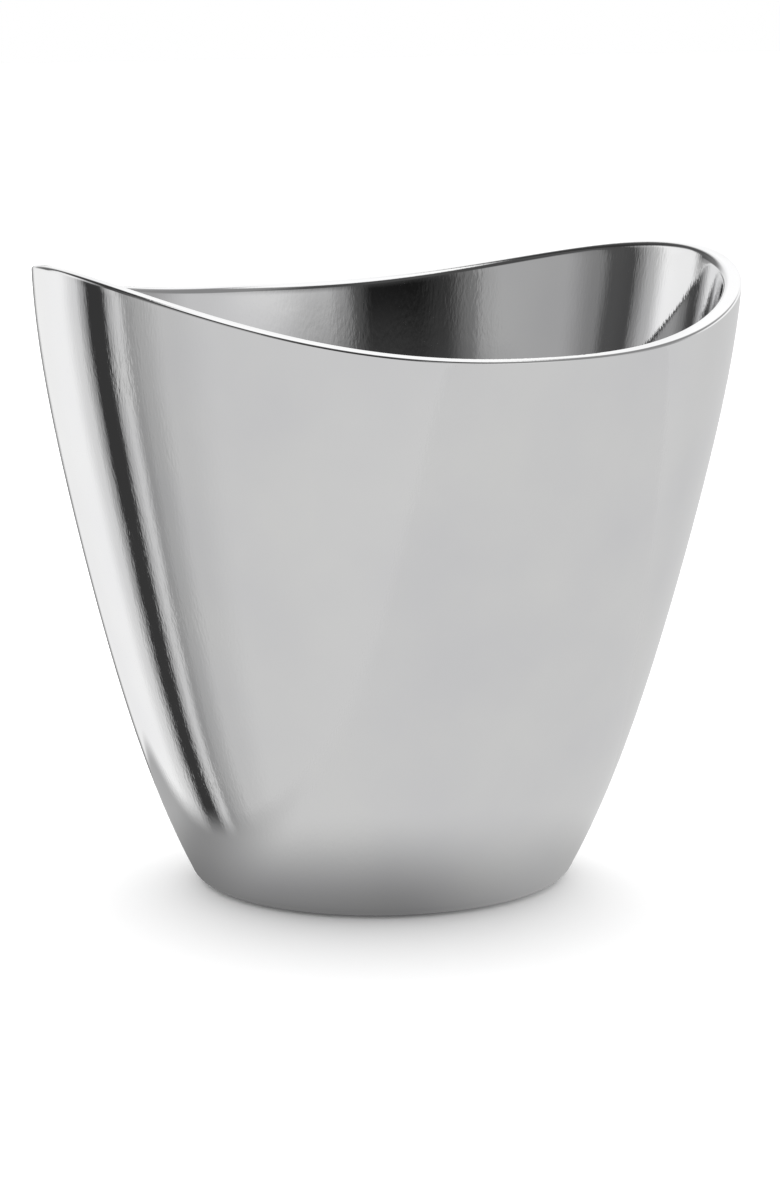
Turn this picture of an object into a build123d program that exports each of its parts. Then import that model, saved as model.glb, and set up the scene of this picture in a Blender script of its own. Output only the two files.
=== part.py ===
from build123d import *
import math
import os

# Champagne bucket: one thick-walled, polished alloy casting that stands on four small pads.
# Millimetres. +Z is up, X runs through the two raised ends of the rim, and the origin is on
# the table under the middle of the base. The bucket is the same in all four quarters.

# The rim
PEAK_HEIGHT = 240.0        # at its two raised ends
SADDLE_HEIGHT = 216.2      # at its two low sides
RIM_SWEEP = 2.6            # how late the rim starts to climb: 2 would be a plain parabola
OUTER_LIP_ROUND = 1.2      # radius on the lip's outer edge
INNER_LIP_ROUND = 3.0      # radius on the lip's inner edge

# The wall
WALL_STATIONS = (          # height, half length along X, half width along Y
    (0.0, 72.3, 66.6),
    (25.0, 84.3, 78.3),
    (75.0, 101.8, 96.2),
    (150.0, 120.8, 117.1),
    (240.0, 133.8, 133.8),
)
WALL_THICKNESS = 6.4       # at the rim's raised ends, measured across the wall
WALL_GROWTH = 5.0          # how much thicker the wall is at the foot
GROWTH_POWER = 3           # the wall thickens fastest just below the rim
FLOOR_TOP = 9.0            # height of the floor inside the bucket
FLOOR_ROUND = 20.0         # radius where the floor meets the wall inside
FOOT_ROUND = 8.0           # radius where the wall turns under the foot

# The underside and its pads
PAD_LIFT = 0.5             # the pads hold the metal this far off the table
RECESS_DEPTH = 1.8         # depth of the recess inside the foot ring
RECESS_INSET = 16.0        # from the outside of the wall to the recess
RECESS_ROUND = 1.2         # radius on the edge of the recess
PAD_COUNT = 4
PAD_RADIUS = 6.0
PAD_ROUND = 0.6            # radius on the lower edge of a pad
PAD_MARGIN = 5.0           # from a pad to the edge of the recess

# How the wall and the rim are built
LOFT_SECTIONS = 9
RIM_POINTS = 32
OVERSHOOT = 20.0           # the wall is lofted this far above the rim before it is cut
SLOPE_STEP = 0.5           # height step for measuring the lean of the wall
CUT_INSIDE = 0.7           # the cut along the rim runs from this share of the mouth's size
CUT_OUTSIDE = 1.15         # to this share
EDGE_MARGIN = 0.5          # height tolerance for picking edges


def through_stations(height, column):
    """Smooth half size at a height: the polynomial through every wall station."""
    total = 0.0
    for i, station in enumerate(WALL_STATIONS):
        term = station[column]
        for j, other in enumerate(WALL_STATIONS):
            if j != i:
                term *= (height - other[0]) / (station[0] - other[0])
        total += term
    return total


def outer_sizes(height):
    """Half length and half width of the outer wall."""
    return [through_stations(height, column) for column in (1, 2)]


def inner_sizes(height):
    """Half length and half width of the inner wall, a wall's thickness inside the outer."""
    thickness = WALL_THICKNESS + WALL_GROWTH * (1 - (height / PEAK_HEIGHT) ** GROWTH_POWER)
    sizes = []
    for column in (1, 2):
        above = through_stations(height + SLOPE_STEP, column)
        below = through_stations(height - SLOPE_STEP, column)
        lean = math.atan2(above - below, 2 * SLOPE_STEP)
        sizes.append(through_stations(height, column) - thickness / math.cos(lean))
    return sizes


def lofted_wall(low, high, sizes_at):
    """A solid through level ovals, from one height to another."""
    step = (high - low) / (LOFT_SECTIONS - 1)
    heights = [low + i * step for i in range(LOFT_SECTIONS)]
    return loft([Plane.XY.offset(z) * Ellipse(*sizes_at(z)) for z in heights])


def rim_height(angle):
    """Height of the rim, at an angle around the bucket from +X."""
    return SADDLE_HEIGHT + (PEAK_HEIGHT - SADDLE_HEIGHT) * abs(math.cos(angle)) ** RIM_SWEEP


def rim_loop(share):
    """A closed curve that rises and falls with the rim, at a share of the mouth's size."""
    length, width = outer_sizes(PEAK_HEIGHT)
    points = []
    for i in range(RIM_POINTS):
        angle = 2 * math.pi * i / RIM_POINTS
        x = share * length * math.cos(angle)
        y = share * width * math.sin(angle)
        points.append((x, y, rim_height(angle)))
    return Spline(*points, periodic=True).edge()


def cut_to_rim(body):
    """What is left of the body under the rim, whose top is level across the wall."""
    rim_face = Face.make_surface_from_curves(rim_loop(CUT_INSIDE), rim_loop(CUT_OUTSIDE))
    pieces = split(body, bisect_by=rim_face, keep=Keep.ALL)
    return pieces.solids().sort_by(Axis.Z)[0]


def front_right_quarter(body):
    """The quarter of the body where X and Y are both positive."""
    size = 2 * PEAK_HEIGHT
    corner = Box(size, size, 2 * size, align=(Align.MIN, Align.MIN, Align.CENTER))
    return (body & corner).solid()


def long_edges_between(solid, low, high):
    """Edges that run around the bucket and lie between two heights, the inner ones first."""
    shortest = WALL_STATIONS[0][1] / 2
    edges = solid.edges().filter_by(GeomType.LINE, reverse=True)
    edges = edges.filter_by_position(Axis.Z, low, high)
    return edges.filter_by(lambda edge: edge.length > shortest).sort_by(SortBy.LENGTH)


def round_edges(quarter):
    """The quarter with its lip, foot and inner floor edge rounded."""
    inner_lip, outer_lip = long_edges_between(quarter, SADDLE_HEIGHT, PEAK_HEIGHT)
    quarter = quarter.fillet(INNER_LIP_ROUND, [inner_lip])
    outer_lip = long_edges_between(quarter, SADDLE_HEIGHT, PEAK_HEIGHT)[-1]
    quarter = quarter.fillet(OUTER_LIP_ROUND, [outer_lip])
    foot = long_edges_between(quarter, PAD_LIFT - EDGE_MARGIN, PAD_LIFT + EDGE_MARGIN)
    quarter = quarter.fillet(FOOT_ROUND, foot)
    floor = long_edges_between(quarter, FLOOR_TOP - EDGE_MARGIN, FLOOR_TOP + EDGE_MARGIN)
    return quarter.fillet(FLOOR_ROUND, floor)


def underside_recess():
    """The shallow oval hollow under the base, with rounded edges."""
    length, width = outer_sizes(0.0)
    outline = Ellipse(length - RECESS_INSET, width - RECESS_INSET)
    hollow = extrude(outline, RECESS_DEPTH)
    hollow = fillet(hollow.edges().group_by(Axis.Z)[-1], RECESS_ROUND)
    return Pos(0, 0, PAD_LIFT) * hollow


def bucket_shell():
    """The whole vessel: wall, rounded lip, floor, foot and the recess under it."""
    wall = lofted_wall(PAD_LIFT, PEAK_HEIGHT + OVERSHOOT, outer_sizes)
    inside = lofted_wall(FLOOR_TOP, PEAK_HEIGHT + OVERSHOOT, inner_sizes)
    body = cut_to_rim((wall - inside).solid())
    quarter = round_edges(front_right_quarter(body))
    half = quarter + mirror(quarter, about=Plane.YZ)
    whole = half + mirror(half, about=Plane.XZ)
    return (whole - underside_recess()).solid()


def base_pad():
    """One round pad, standing on the table with its top against the recess."""
    pad = Cylinder(
        PAD_RADIUS,
        PAD_LIFT + RECESS_DEPTH,
        align=(Align.CENTER, Align.CENTER, Align.MIN),
    )
    return fillet(pad.edges().group_by(Axis.Z)[0], PAD_ROUND)


def pad_place(number):
    """Where a pad goes: halfway between the X and Y axes, near the edge of the recess."""
    length, width = outer_sizes(0.0)
    reach = RECESS_INSET + PAD_MARGIN + PAD_RADIUS
    angle = 2 * math.pi * (number - 0.5) / PAD_COUNT
    return Pos((length - reach) * math.cos(angle), (width - reach) * math.sin(angle), 0)


if __name__ == "__main__":
    os.makedirs("parts", exist_ok=True)
    export_step(bucket_shell(), "parts/bucket_shell.step")
    for number in range(1, PAD_COUNT + 1):
        export_step(pad_place(number) * base_pad(), f"parts/base_pad_{number}.step")
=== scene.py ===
import bpy
import math
from mathutils import Matrix, Vector


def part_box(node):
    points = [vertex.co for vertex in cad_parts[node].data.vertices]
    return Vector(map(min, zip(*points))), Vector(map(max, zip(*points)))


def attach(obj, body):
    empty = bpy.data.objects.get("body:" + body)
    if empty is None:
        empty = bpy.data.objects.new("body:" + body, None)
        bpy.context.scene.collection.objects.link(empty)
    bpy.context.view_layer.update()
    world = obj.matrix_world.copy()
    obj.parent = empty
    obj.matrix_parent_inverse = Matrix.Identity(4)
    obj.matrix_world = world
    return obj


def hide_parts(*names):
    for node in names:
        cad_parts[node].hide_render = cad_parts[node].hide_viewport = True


# Champagne bucket of polished alloy, in metres. The bucket is modelled here as one fine,
# regular mesh, so that its mirror finish reflects without facets.

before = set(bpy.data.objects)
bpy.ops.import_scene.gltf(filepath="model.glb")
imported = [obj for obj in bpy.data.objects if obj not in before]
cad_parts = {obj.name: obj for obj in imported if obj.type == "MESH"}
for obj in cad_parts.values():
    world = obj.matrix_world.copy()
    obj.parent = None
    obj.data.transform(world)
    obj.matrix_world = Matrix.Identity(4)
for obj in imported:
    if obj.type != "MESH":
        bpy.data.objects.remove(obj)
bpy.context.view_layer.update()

SHELL_LOW, SHELL_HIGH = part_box("bucket_shell")
PEAK = SHELL_HIGH.z                 # the rim at its two raised ends
FOOT = SHELL_LOW.z                  # the pads hold the metal off the table

# The bucket's shape
SADDLE = 0.2162                     # the rim at its two low sides
RIM_SWEEP = 2.6                     # how late the rim starts to climb
WALL_STATIONS = (                   # height, half length along X, half width along Y
    (0.0, 0.0723, 0.0666),
    (0.025, 0.0843, 0.0783),
    (0.075, 0.1018, 0.0962),
    (0.150, 0.1208, 0.1171),
    (0.240, 0.1338, 0.1338),
)
WALL = 0.0064                       # wall thickness at the rim's raised ends
WALL_GROWTH = 0.005                 # how much thicker the wall is at the foot
GROWTH_POWER = 3                    # the wall thickens fastest just below the rim
OUTER_LIP_ROUND = 0.0012
INNER_LIP_ROUND = 0.003
FLOOR_TOP = 0.009                   # height of the floor inside the bucket
FLOOR_ROUND = 0.020
FOOT_ROUND = 0.008
RECESS_DEPTH = 0.0018
RECESS_INSET = 0.016                # from the outside of the wall to the recess
RECESS_ROUND = 0.0012

# How finely the bucket is meshed
COLUMNS = 288                       # steps around the bucket
WALL_ROWS = 56                      # steps up a wall
ARC_ROWS = 8                        # steps around a rounded edge
DISC_ROWS = 6                       # steps across the floor and the underside
EVEN_SHARE = 0.5                    # 1 would space the wall's rows evenly, 0 by a half wave
LEAN_STEP = 0.0005                  # height step for measuring how far a wall leans

# The camera, aimed close to the bucket's axis
CAMERA_AZIMUTH = -26.1
CAMERA_ELEVATION = 11.04
CAMERA_ROLL = 0.44
CAMERA_DISTANCE = 1.4107
CAMERA_AIM = (0.0020, 0.1084)       # to the right of the axis, and up it
CAMERA_LENS = 110.6                 # millimetres, as the sensor's width is
CAMERA_SENSOR = 36.0

# The polish. Scales are features to the metre, and depths are in metres.
ALLOY_DULL = (0.775, 0.775, 0.785)
ALLOY_BRIGHT = (0.815, 0.815, 0.812)
MARK_SCALE = 950.0                  # marks of the buffing wheel
MARK_STRETCH = 0.25                 # they stand upright, four times as tall as wide
MARK_DEPTH = 0.000036
WAVE_SCALE = 40.0                   # the casting's own unevenness
WAVE_DEPTH = 0.00007
CLOUD_SCALE = 22.0                  # patches that are polished a little more or less
PATCH_EDGES = (0.42, 0.62)
PATCH_MARKS = (0.35, 1.0)           # the share of the marks that shows in them
TONE_EDGES = (0.3, 0.7)
SCRATCH_SCALE = 900.0
SCRATCH_EDGES = (0.35, 0.75)
SCRATCH_ROUGHNESS = (0.008, 0.045)
CLOUD_ROUGHNESS = 0.02
SATIN_ROUGHNESS = 0.30              # deep inside and underneath, where no wheel reaches
SATIN_HEIGHT = (0.060, 0.160)       # it fades out between these heights
OUTSIDE_REACH = 0.01                # a face that looks outward this far from the axis has none

# The pads' rubber
PAD_DARK = (0.58, 0.59, 0.60)
PAD_LIGHT = (0.65, 0.66, 0.67)
PAD_CLOUD_SCALE = 260.0
PAD_ROUGHNESS = (0.38, 0.52)
PAD_GRAIN_SCALE = 2500.0
PAD_GRAIN_DEPTH = 0.00002
PAD_TRANSLUCENCY = 0.15
PAD_LIGHT_REACH = 0.001             # how far light travels inside a pad

# The studio that the metal reflects: brightness by azimuth, in degrees around the bucket
# from the camera's side, negative to the camera's left.
FLOOR_LIGHT = (                     # below the horizon, where the outer wall looks
    (-180, 0.18), (-167, 0.26), (-160, 0.95), (-130, 1.05), (-119, 0.78), (-114, 0.40),
    (-111, 0.045), (-103, 0.045), (-100, 0.48), (-96, 0.71), (-91, 0.36), (-86, 0.46),
    (-75, 0.62), (-55, 0.70), (0, 0.72), (60, 0.76), (110, 0.73), (140, 0.69), (180, 0.70),
)
HORIZON_LIGHT = (                   # level with the bucket, where the inner wall looks
    (-180, 1.10), (-165, 0.90), (-152, 0.20), (-141, 0.12), (-134, 1.00), (-118, 1.05),
    (-107, 0.50), (-101, 0.24), (-98, 0.075), (-88, 0.09),
    (-81, 0.25), (-66, 0.43), (-42, 0.46), (-36, 0.40), (-31, 0.20), (-20, 0.04), (-9, 0.01),
    (7, 0.01), (12, 0.09), (18, 0.38), (24, 0.60), (45, 0.80), (76, 0.67), (100, 0.40),
    (125, 1.10), (180, 1.10),
)
HIGH_LIGHT = (                      # above the bucket, where the lip looks
    (-180, 1.20), (-168, 1.10), (-152, 0.10), (-112, 0.04), (-104, 0.04), (-93, 0.10),
    (-60, 0.08), (30, 0.08), (60, 0.30), (120, 0.30), (145, 0.45), (160, 1.20), (180, 1.20),
)
OVERHEAD_LIGHT = 1.25               # the softbox above
HORIZON_RISE = (-6.0, 2.0)          # elevations, in degrees, where one gives way to the next
HIGH_RISE = (15.0, 26.0)
OVERHEAD_RISE = (56.0, 68.0)
BACKDROP_LIGHT = 1.0                # what the camera sees past the floor
ROOM_LIGHT = 1.74                   # what lights the floor
ROOM_TILT = 1.2                     # how much more of it comes from behind the bucket

# The floor
FLOOR_SIZE = 12.0
FLOOR_COLOUR = (0.9, 0.9, 0.9)
FLOOR_ROUGHNESS = 0.9

# The floor as the metal sees it is painted light: it glows, with a painted shadow round the foot
# and painted shade on the left, plain in front, and part of the studio beyond two lines, on the
# left and behind. Distances are in metres from the axis.
PAINTED_FLOOR_LIGHT = 0.70
FOOT_SHADE = (0.27, 0.62)           # painted shadow: the share of painted light left at the foot, left and right
FOOT_SHADE_SIDES = (0.000, 0.080)
FOOT_SHADE_REACH = (0.062, 0.122)
LEFT_SHADE = (0.48, 0.66)           # painted shade: the share of painted light left on the left side, in front and behind
LEFT_SHADE_DEPTH = (-0.045, 0.020)
LEFT_SHADE_REACH = (-0.105, -0.052)
LEFT_LINE_AZIMUTH = -61             # the way to the line on the left
LEFT_LINE = 0.103
BEHIND_LINE = 0.107
LINE_BLEND = 0.12                   # how widely the two are blended where they meet
LINE_SOFTNESS = 0.020


def through_stations(height, column):
    """Smooth half size at a height: the polynomial through every wall station."""
    total = 0.0
    for i, station in enumerate(WALL_STATIONS):
        term = station[column]
        for j, other in enumerate(WALL_STATIONS):
            if j != i:
                term *= (height - other[0]) / (station[0] - other[0])
        total += term
    return total


def lean(half_size, height, column):
    """How far a face of the wall leans outward at a height, in radians."""
    growth = half_size(height + LEAN_STEP, column) - half_size(height - LEAN_STEP, column)
    return math.atan2(growth, 2 * LEAN_STEP)


def leaning(half_size, height, column):
    """The direction up a face of the wall at a height."""
    angle = lean(half_size, height, column)
    return Vector((math.sin(angle), math.cos(angle)))


def outer_size(height, column):
    """Half length or half width of the outer wall at a height."""
    return through_stations(height, column)


def inner_size(height, column):
    """Half length or half width of the inner wall, the wall's thickness inside the outer."""
    thickness = WALL + WALL_GROWTH * (1 - (height / PEAK) ** GROWTH_POWER)
    return outer_size(height, column) - thickness / math.cos(lean(outer_size, height, column))


def rounded_corner(corner, back, ahead, radius):
    """Points of an arc that rounds a corner between two directions, in the profile's plane."""
    back, ahead = Vector(back).normalized(), Vector(ahead).normalized()
    half = back.angle(ahead) / 2
    reach = radius / math.tan(half)
    start, end = Vector(corner) + back * reach, Vector(corner) + ahead * reach
    centre = Vector(corner) + (back + ahead).normalized() * (radius / math.sin(half))
    turn = math.pi - 2 * half
    points = []
    for i in range(ARC_ROWS + 1):
        share = i / ARC_ROWS
        a = math.sin((1 - share) * turn) / math.sin(turn)
        b = math.sin(share * turn) / math.sin(turn)
        points.append(centre + (start - centre) * a + (end - centre) * b)
    return points


def wall_points(half_size, low, high, column):
    """Points up one face of the wall, closer together near the foot and the lip."""
    points = []
    for i in range(1, WALL_ROWS):
        even = i / WALL_ROWS
        wave = (1 - math.cos(math.pi * even)) / 2
        height = low + (EVEN_SHARE * even + (1 - EVEN_SHARE) * wave) * (high - low)
        points.append(Vector((half_size(height, column), height)))
    return points


def section(rim, column):
    """The half section of the bucket from the middle of its underside, up the outer wall,
    over the lip, down the inner wall and in to the middle of the floor."""
    out, up = Vector((1, 0)), Vector((0, 1))
    recess_edge = outer_size(0.0, column) - RECESS_INSET
    recess_top = FOOT + RECESS_DEPTH
    foot_edge = (outer_size(FOOT, column), FOOT)
    outer_top = (outer_size(rim, column), rim)
    inner_top = (inner_size(rim, column), rim)
    floor_edge = (inner_size(FLOOR_TOP, column), FLOOR_TOP)
    up_foot = leaning(outer_size, FOOT, column)
    up_outer_rim = leaning(outer_size, rim, column)
    up_inner_rim = leaning(inner_size, rim, column)
    up_floor = leaning(inner_size, FLOOR_TOP, column)

    points = [Vector((recess_edge * i / DISC_ROWS, recess_top)) for i in range(1, DISC_ROWS)]
    points += rounded_corner((recess_edge, recess_top), -out, -up, RECESS_ROUND)
    points.append(Vector((recess_edge, FOOT)))
    foot = rounded_corner(foot_edge, -out, up_foot, FOOT_ROUND)
    outer_lip = rounded_corner(outer_top, -up_outer_rim, -out, OUTER_LIP_ROUND)
    points += foot + wall_points(outer_size, foot[-1].y, outer_lip[0].y, column) + outer_lip
    inner_lip = rounded_corner(inner_top, out, -up_inner_rim, INNER_LIP_ROUND)
    floor = rounded_corner(floor_edge, up_floor, -out, FLOOR_ROUND)
    down = wall_points(inner_size, floor[0].y, inner_lip[-1].y, column)
    points += inner_lip + down[::-1] + floor
    inner_reach = floor[-1].x
    points += [Vector((inner_reach * i / DISC_ROWS, FLOOR_TOP)) for i in range(DISC_ROWS - 1, 0, -1)]
    return points


def rim_height(angle):
    """Height of the rim at an angle around the bucket from +X."""
    return SADDLE + (PEAK - SADDLE) * abs(math.cos(angle)) ** RIM_SWEEP


def bucket_mesh():
    """The bucket as half sections, one for each step around it. X comes from the section
    along the bucket, Y from the one across it, and the height is blended from both."""
    vertices, faces = [], []
    for step in range(COLUMNS):
        angle = 2 * math.pi * step / COLUMNS
        rim = rim_height(angle)
        along, across = section(rim, 1), section(rim, 2)
        rows = len(along)
        c, s = math.cos(angle), math.sin(angle)
        for a, b in zip(along, across):
            vertices.append((a.x * c, b.x * s, a.y * c * c + b.y * s * s))
    for step in range(COLUMNS):
        here, there = step * rows, (step + 1) % COLUMNS * rows
        for row in range(rows - 1):
            faces.append((here + row, there + row, there + row + 1, here + row + 1))
    under, floor = len(vertices), len(vertices) + 1
    vertices += [(0, 0, FOOT + RECESS_DEPTH), (0, 0, FLOOR_TOP)]
    for step in range(COLUMNS):
        here, there = step * rows, (step + 1) % COLUMNS * rows
        faces.append((under, there, here))
        faces.append((floor, here + rows - 1, there + rows - 1))
    mesh = bpy.data.meshes.new("bucket")
    mesh.from_pydata(vertices, [], faces)
    mesh.polygons.foreach_set("use_smooth", [True] * len(mesh.polygons))
    mesh.validate()
    return mesh


class Nodes:
    """Adds shader nodes to a tree. An input is a number, a colour or another node's output."""

    def __init__(self, tree):
        self.tree = tree

    def add(self, kind, *inputs, **settings):
        node = self.tree.nodes.new("ShaderNode" + kind)
        for name, value in settings.items():
            setattr(node, name, value)
        for socket, value in zip(node.inputs, inputs):
            self.set(socket, value)
        return node

    def set(self, socket, value):
        if isinstance(value, bpy.types.NodeSocket):
            self.tree.links.new(value, socket)
        elif value is not None:
            socket.default_value = value

    def math(self, operation, a, b=None, c=None):
        return self.add("Math", a, b, c, operation=operation).outputs[0]

    def step(self, value, low, high, start=0.0, end=1.0):
        """A smooth step: start below low, and end above high."""
        node = self.add("MapRange", value, low, high, start, end, interpolation_type="SMOOTHSTEP")
        return node.outputs[0]

    def along(self, place, direction):
        """How far a place lies in a direction."""
        return self.add("VectorMath", place, direction, operation="DOT_PRODUCT").outputs["Value"]

    def noise(self, place, scale, detail):
        """Smooth noise, 0 to 1, with so many features to the metre."""
        return self.add("TexNoise", place, None, scale, detail).outputs[0]

    def tone(self, value, edges, low, high):
        """A colour that goes from low to high between two edges."""
        node = self.add("ValToRGB", value)
        for stop, place, colour in zip(node.color_ramp.elements, edges, (low, high)):
            stop.position = place
            stop.color = (*colour, 1)
        return node.outputs["Color"]

    def mix(self, factor, a, b):
        """A number that goes from a to b."""
        return self.add("Mix", factor, None, a, b, data_type="FLOAT").outputs[0]


def polished_alloy():
    """Cast alloy, polished by hand to a mirror. The buffing wheel ran up and down the wall, so
    its short marks stand upright, and the casting under them is very slightly uneven."""
    material = bpy.data.materials.new("polished_alloy")
    material.use_nodes = True
    nodes = Nodes(material.node_tree)
    shader = material.node_tree.nodes["Principled BSDF"]
    shader.inputs["Metallic"].default_value = 1.0

    coordinates = nodes.add("TexCoord").outputs
    place = coordinates["Object"]
    upright = nodes.add("Mapping", place, None, None, (1.0, 1.0, MARK_STRETCH)).outputs[0]
    marks = nodes.noise(upright, MARK_SCALE, detail=2.0)
    waves = nodes.noise(place, WAVE_SCALE, detail=1.0)
    cloud = nodes.noise(place, CLOUD_SCALE, detail=3.0)
    scratches = nodes.noise(upright, SCRATCH_SCALE, detail=4.0)

    # marks show more where the wheel pressed harder
    patchy = nodes.step(cloud, *PATCH_EDGES, *PATCH_MARKS)
    relief = nodes.math("MULTIPLY", marks, patchy)
    relief = nodes.math("MULTIPLY", relief, MARK_DEPTH)
    relief = nodes.math("MULTIPLY_ADD", waves, WAVE_DEPTH, relief)
    normal = nodes.add("Bump", 1.0, 1.0, None, relief).outputs[0]
    nodes.set(shader.inputs["Normal"], normal)

    # how far out a face lies in the level direction it looks in: negative on the inner wall
    level = nodes.add("VectorMath", coordinates["Normal"], (1, 1, 0), operation="MULTIPLY")
    outward = nodes.along(place, level.outputs[0])
    satin = nodes.step(outward, 0.0, OUTSIDE_REACH, SATIN_ROUGHNESS, 0.0)
    height = nodes.add("SeparateXYZ", place).outputs["Z"]
    satin = nodes.step(height, *SATIN_HEIGHT, satin, 0.0)

    rough = nodes.step(scratches, *SCRATCH_EDGES, *SCRATCH_ROUGHNESS)
    rough = nodes.math("MULTIPLY_ADD", cloud, CLOUD_ROUGHNESS, rough)
    nodes.set(shader.inputs["Roughness"], nodes.math("ADD", rough, satin))
    tone = nodes.tone(cloud, TONE_EDGES, ALLOY_DULL, ALLOY_BRIGHT)
    nodes.set(shader.inputs["Base Color"], tone)
    return material


def pad_rubber():
    """Grey rubber with a fine grain, slightly translucent and cloudy."""
    material = bpy.data.materials.new("pad_rubber")
    material.use_nodes = True
    nodes = Nodes(material.node_tree)
    shader = material.node_tree.nodes["Principled BSDF"]
    shader.inputs["Subsurface Weight"].default_value = PAD_TRANSLUCENCY
    shader.inputs["Subsurface Scale"].default_value = PAD_LIGHT_REACH

    place = nodes.add("TexCoord").outputs["Object"]
    cloud = nodes.noise(place, PAD_CLOUD_SCALE, detail=2.0)
    grain = nodes.noise(place, PAD_GRAIN_SCALE, detail=3.0)
    relief = nodes.math("MULTIPLY", grain, PAD_GRAIN_DEPTH)
    nodes.set(shader.inputs["Normal"], nodes.add("Bump", 1.0, 1.0, None, relief).outputs[0])
    rough = nodes.step(cloud, *TONE_EDGES, *PAD_ROUGHNESS)
    nodes.set(shader.inputs["Roughness"], rough)
    nodes.set(shader.inputs["Base Color"], nodes.tone(cloud, TONE_EDGES, PAD_DARK, PAD_LIGHT))
    return material


def add_bucket():
    """The bucket's own mesh, in place of the CAD's."""
    bucket = bpy.data.objects.new("bucket", bucket_mesh())
    bpy.context.scene.collection.objects.link(bucket)
    bucket.data.materials.append(polished_alloy())
    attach(bucket, "root")
    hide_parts("bucket_shell")


def dress_pads():
    """The pads keep the CAD's shape and get the rubber."""
    rubber = pad_rubber()
    for name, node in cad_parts.items():
        if name.startswith("base_pad"):
            node.data.materials.clear()
            node.data.materials.append(rubber)


def from_camera_side(azimuth):
    """A level direction, at an azimuth in degrees from the camera's side."""
    angle = math.radians(CAMERA_AZIMUTH + azimuth)
    return Vector((math.sin(angle), -math.cos(angle), 0))


def pale_floor():
    """White and matt. For the metal it glows instead, with a painted shadow of the bucket round the
    foot and painted shade on the left, and the studio instead of it farther off on the left and
    behind."""
    material = bpy.data.materials.new("pale_floor")
    material.use_nodes = True
    nodes = Nodes(material.node_tree)
    shader = material.node_tree.nodes["Principled BSDF"]
    shader.inputs["Base Color"].default_value = (*FLOOR_COLOUR, 1)
    shader.inputs["Roughness"].default_value = FLOOR_ROUGHNESS

    place = nodes.add("TexCoord").outputs["Object"]
    reach = nodes.add("VectorMath", place, operation="LENGTH").outputs["Value"]
    rightward = nodes.along(place, from_camera_side(90))
    backward = nodes.along(place, from_camera_side(180))
    lineward = nodes.along(place, from_camera_side(LEFT_LINE_AZIMUTH))
    # painted shadow round the foot and painted shade on the left, in a floor that glows for
    # reflections only
    foot = nodes.step(rightward, *FOOT_SHADE_SIDES, *FOOT_SHADE)
    foot = nodes.step(reach, *FOOT_SHADE_REACH, foot, 1.0)
    left = nodes.step(backward, *LEFT_SHADE_DEPTH, *LEFT_SHADE)
    left = nodes.step(rightward, *LEFT_SHADE_REACH, left, 1.0)
    light = nodes.math("MULTIPLY", nodes.math("MULTIPLY", foot, left), PAINTED_FLOOR_LIGHT)
    near = nodes.add("Emission", (1, 1, 1, 1), light).outputs[0]
    far = nodes.add("BsdfTransparent").outputs[0]
    past_left = nodes.math("SUBTRACT", lineward, LEFT_LINE)
    past_behind = nodes.math("SUBTRACT", backward, BEHIND_LINE)
    beyond = nodes.math("SMOOTH_MAX", past_left, past_behind, LINE_BLEND)
    beyond = nodes.step(beyond, 0.0, LINE_SOFTNESS)
    reflected = nodes.add("MixShader", beyond, near, far).outputs[0]
    is_reflected = nodes.add("LightPath").outputs["Is Glossy Ray"]
    surface = nodes.add("MixShader", is_reflected, shader.outputs[0], reflected).outputs[0]
    nodes.set(material.node_tree.nodes["Material Output"].inputs["Surface"], surface)
    return material


def add_floor():
    """A level square, far wider than the view."""
    mesh = bpy.data.meshes.new("floor")
    corners = [(-1, -1, 0), (1, -1, 0), (1, 1, 0), (-1, 1, 0)]
    mesh.from_pydata([Vector(corner) * FLOOR_SIZE / 2 for corner in corners], [], [(0, 1, 2, 3)])
    mesh.materials.append(pale_floor())
    floor = bpy.data.objects.new("floor", mesh)
    bpy.context.scene.collection.objects.link(floor)


def add_camera():
    """The camera stands off along a direction, looks back at its aim and is rolled a little."""
    azimuth, elevation = math.radians(CAMERA_AZIMUTH), math.radians(CAMERA_ELEVATION)
    back = Vector((
        math.sin(azimuth) * math.cos(elevation),
        -math.cos(azimuth) * math.cos(elevation),
        math.sin(elevation),
    ))
    right = Vector((math.cos(azimuth), math.sin(azimuth), 0))
    data = bpy.data.cameras.new("camera")
    data.lens = CAMERA_LENS
    data.sensor_width = CAMERA_SENSOR
    camera = bpy.data.objects.new("camera", data)
    bpy.context.scene.collection.objects.link(camera)
    place = right * CAMERA_AIM[0] + Vector((0, 0, CAMERA_AIM[1])) + back * CAMERA_DISTANCE
    turn = back.to_track_quat("Z", "Y").to_matrix().to_4x4()
    roll = Matrix.Rotation(math.radians(CAMERA_ROLL), 4, "Z")
    camera.matrix_world = Matrix.Translation(place) @ turn @ roll
    bpy.context.scene.camera = camera


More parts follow.
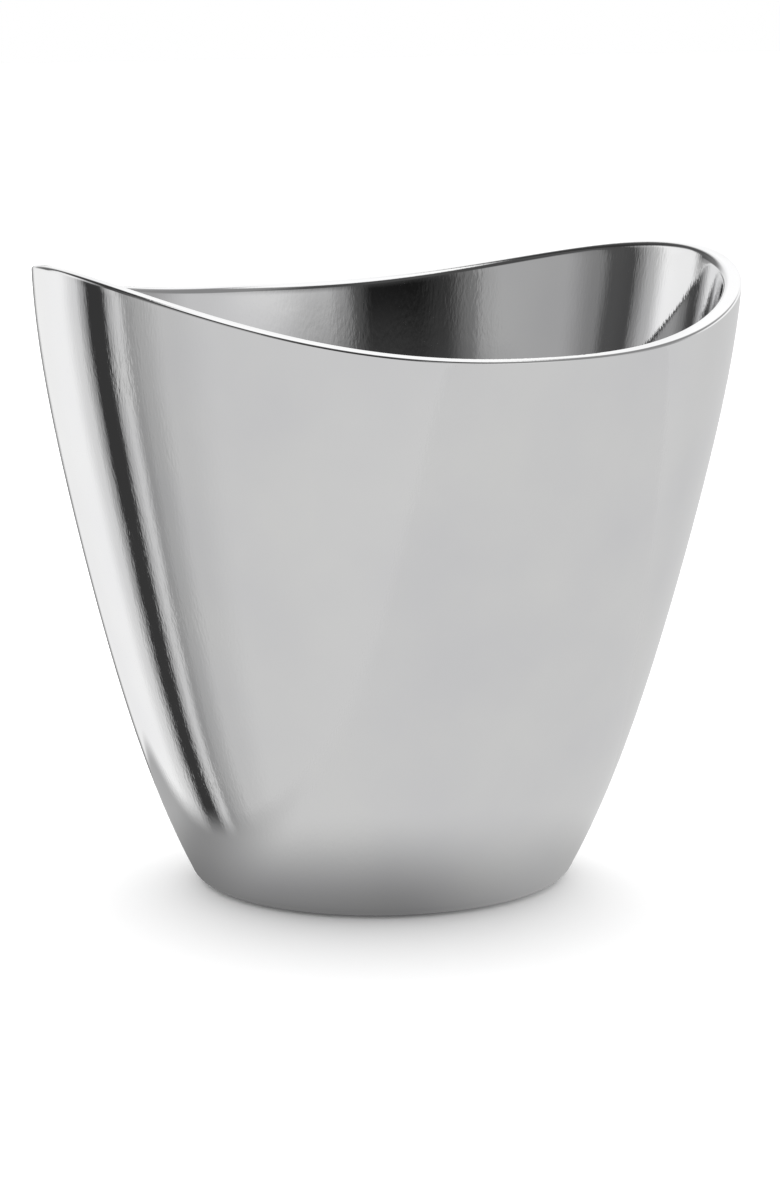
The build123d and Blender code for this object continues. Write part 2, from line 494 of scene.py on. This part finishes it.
def around(nodes, turn, profile):
    """Brightness at a share of a turn, 0 to 1, from a profile of azimuths and brightnesses."""
    ramp = nodes.add("ValToRGB", turn)
    ramp.color_ramp.interpolation = "EASE"
    stops = ramp.color_ramp.elements    # it starts with two, at 0 and 1
    for azimuth, brightness in profile[1:-1]:
        stops.new(azimuth / 360 + 0.5)
    for stop, (_, brightness) in zip(stops, profile):
        stop.color = (brightness, brightness, brightness, 1)
    return ramp.outputs["Color"]


def studio_light(nodes, aimed):
    """Brightness of the studio that the metal reflects, in every direction from the bucket."""
    azimuth = nodes.math("ARCTAN2", aimed["X"], nodes.math("MULTIPLY", aimed["Y"], -1.0))
    turn = nodes.math("MULTIPLY_ADD", azimuth, 1 / (2 * math.pi), 0.5)
    height = nodes.math("DEGREES", nodes.math("ARCSINE", aimed["Z"]))
    floor = around(nodes, turn, FLOOR_LIGHT)
    horizon = around(nodes, turn, HORIZON_LIGHT)
    high = around(nodes, turn, HIGH_LIGHT)
    light = nodes.mix(nodes.step(height, *HORIZON_RISE), floor, horizon)
    light = nodes.mix(nodes.step(height, *HIGH_RISE), light, high)
    return nodes.mix(nodes.step(height, *OVERHEAD_RISE), light, OVERHEAD_LIGHT)


def add_world():
    """White behind the bucket, an even light on the floor, and a studio for the metal."""
    world = bpy.data.worlds.new("studio")
    world.use_nodes = True
    nodes = Nodes(world.node_tree)
    direction = nodes.add("TexCoord").outputs["Generated"]
    turned = nodes.add("VectorRotate", direction, rotation_type="Z_AXIS")
    turned.inputs["Angle"].default_value = -math.radians(CAMERA_AZIMUTH)
    aimed = nodes.add("SeparateXYZ", turned.outputs[0]).outputs

    path = nodes.add("LightPath").outputs
    room = nodes.math("MULTIPLY_ADD", aimed["Y"], ROOM_TILT, ROOM_LIGHT)
    light = nodes.mix(path["Is Glossy Ray"], room, studio_light(nodes, aimed))
    light = nodes.mix(path["Is Camera Ray"], light, BACKDROP_LIGHT)
    background = world.node_tree.nodes["Background"]
    background.inputs["Color"].default_value = (1, 1, 1, 1)
    nodes.set(background.inputs["Strength"], light)
    bpy.context.scene.world = world


add_bucket()
dress_pads()
add_floor()
add_camera()
add_world()
bpy.context.scene.view_settings.view_transform = "Standard"
